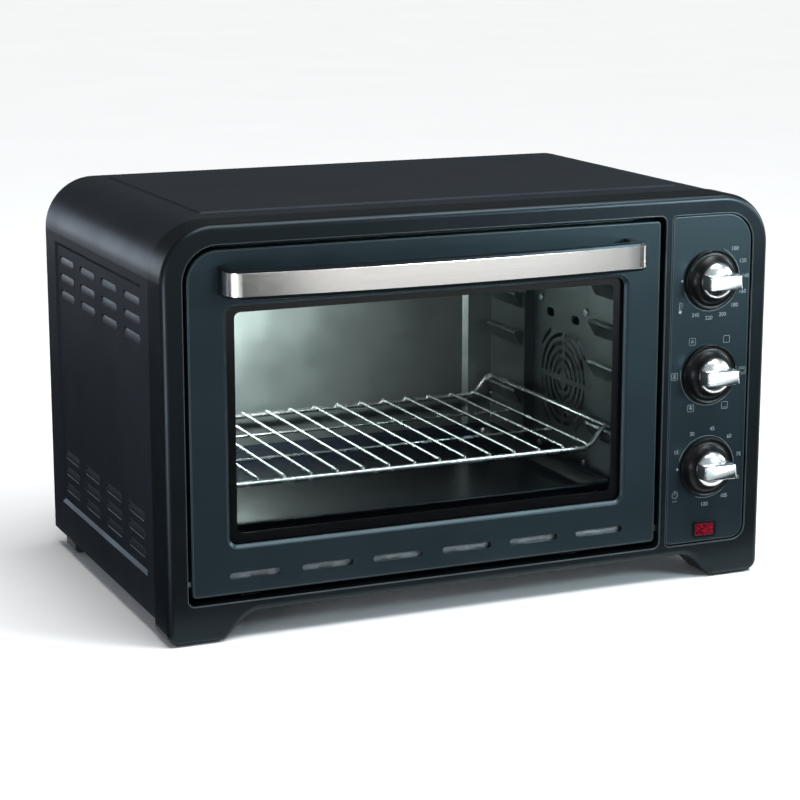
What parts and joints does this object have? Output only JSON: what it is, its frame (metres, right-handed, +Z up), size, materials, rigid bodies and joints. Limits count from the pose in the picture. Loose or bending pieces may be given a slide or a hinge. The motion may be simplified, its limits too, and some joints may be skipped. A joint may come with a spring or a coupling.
{
  "type": "rotisserie oven",
  "caption": "Countertop electric oven with a bottom-hinged glass door, bowed handle, side control knobs, convection fan, rotisserie drive, wire rack and drip tray.",
  "frame": {"origin": "middle of the footprint, on the plane of the rubber feet", "axes": "+Z up, door and knobs towards -Y, control panel towards +X"},
  "size_m": [0.56, 0.4, 0.348],
  "materials": {
    "housing_paint": "satin black coil-coated steel",
    "moulded_black": "fine-grained moulded black",
    "door_paint": "satin anthracite",
    "panel_black": "satin anthracite",
    "galvanised": "galvanised sheet",
    "cavity_steel": "aluminised sheet",
    "tray_enamel": "gloss black enamel",
    "rack_chrome": "chromed wire",
    "heater_sheath": "oxidised stainless",
    "ceramic": "unglazed ceramic",
    "clear_glass": "clear toughened glass",
    "mask_black": "gloss black",
    "brushed_trim": "brushed stainless strip",
    "knob_black": "gloss black",
    "knob_chrome": "satin chrome plate",
    "steel_zinc": "zinc plated",
    "motor_parts": "laminated steel and coil",
    "fan_aluminium": "pressed sheet",
    "switch_body": "moulded phenolic",
    "lens_red": "clear red",
    "rubber": "matt"
  },
  "bodies": {
    "oven_body": {"outer_housing": "housing_paint", "rear_panel": "galvanised", "rear_screws": "steel_zinc", "base_plate": "galvanised", "front_bezel": "moulded_black", "control_panel": "panel_black", "rear_foot_left": "moulded_black", "rear_foot_right": "moulded_black", "foot_pads": "rubber", "cavity_left_wall": "cavity_steel", "cavity_right_wall": "cavity_steel", "cavity_back_wall": "cavity_steel", "cavity_roof": "cavity_steel", "cavity_floor": "cavity_steel", "cavity_front_frame": "cavity_steel", "cavity_supports": "galvanised", "heater_insulators": "ceramic", "fan_housing": "galvanised", "fan_screws": "steel_zinc", "fan_motor": "motor_parts", "rotisserie_motor": "motor_parts", "hinge_pins": "steel_zinc", "hinge_brackets": "galvanised", "control_bracket": "galvanised", "pilot_lens": "lens_red", "pilot_holder": "switch_body", "cord_inlet": "moulded_black", "terminal_block": "switch_body", "upper_heater_front": "heater_sheath", "upper_heater_rear": "heater_sheath", "lower_heater_front": "heater_sheath", "lower_heater_rear": "heater_sheath", "thermostat": "switch_body", "mode_switch": "switch_body", "timer": "switch_body"},
    "door": {"door_outer_panel": "door_paint", "window_surround": "mask_black", "door_glass": "clear_glass", "door_inner_frame": "cavity_steel", "hinge_arms": "steel_zinc", "handle_body": "moulded_black", "handle_trim": "brushed_trim", "handle_screws": "steel_zinc"},
    "rack": {"wire_rack": "rack_chrome"},
    "tray": {"drip_tray": "tray_enamel"},
    "fan": {"fan_shaft": "steel_zinc", "fan_blade": "fan_aluminium"},
    "spit_drive": {"spit_drive_socket": "steel_zinc"},
    "thermostat_knob": {"thermostat_shaft": "steel_zinc", "thermostat_knob_skirt": "knob_black", "thermostat_knob_grip": "knob_chrome"},
    "mode_knob": {"mode_switch_shaft": "steel_zinc", "mode_switch_knob_skirt": "knob_black", "mode_switch_knob_grip": "knob_chrome"},
    "timer_knob": {"timer_shaft": "steel_zinc", "timer_knob_skirt": "knob_black", "timer_knob_grip": "knob_chrome"}
  },
  "joints": [
    {"name": "door_hinge", "type": "hinge", "parent": "oven_body", "child": "door", "pos_m": [-0.043, -0.152, 0.05], "axis": [1, 0, 0], "range_deg": [0, 90]},
    {"name": "rack_slide", "type": "slide", "parent": "oven_body", "child": "rack", "axis": [0, -1, 0], "range_m": [0, 0.15]},
    {"name": "tray_slide", "type": "slide", "parent": "oven_body", "child": "tray", "axis": [0, -1, 0], "range_m": [0, 0.06]},
    {"name": "thermostat_turn", "type": "hinge", "parent": "oven_body", "child": "thermostat_knob", "pos_m": [0.2235, -0.162, 0.2727], "axis": [0, 1, 0], "range_deg": [0, 296]},
    {"name": "mode_turn", "type": "hinge", "parent": "oven_body", "child": "mode_knob", "pos_m": [0.2235, -0.162, 0.188], "axis": [0, 1, 0], "range_deg": [0, 300]},
    {"name": "timer_turn", "type": "hinge", "parent": "oven_body", "child": "timer_knob", "pos_m": [0.2235, -0.162, 0.1033], "axis": [0, 1, 0], "range_deg": [0, 271]},
    {"name": "fan_spin", "type": "hinge", "parent": "oven_body", "child": "fan", "pos_m": [0.17, -0.004, 0.158], "axis": [1, 0, 0], "continuous": true},
    {"name": "spit_spin", "type": "hinge", "parent": "oven_body", "child": "spit_drive", "pos_m": [-0.24, -0.002, 0.2], "axis": [1, 0, 0], "continuous": true}
  ],
  "couplings": [
    {"joint": "rack_slide", "follows": "door_hinge", "m_per_rad": 0.0954},
    {"joint": "tray_slide", "follows": "door_hinge", "m_per_rad": 0.0381}
  ]
}
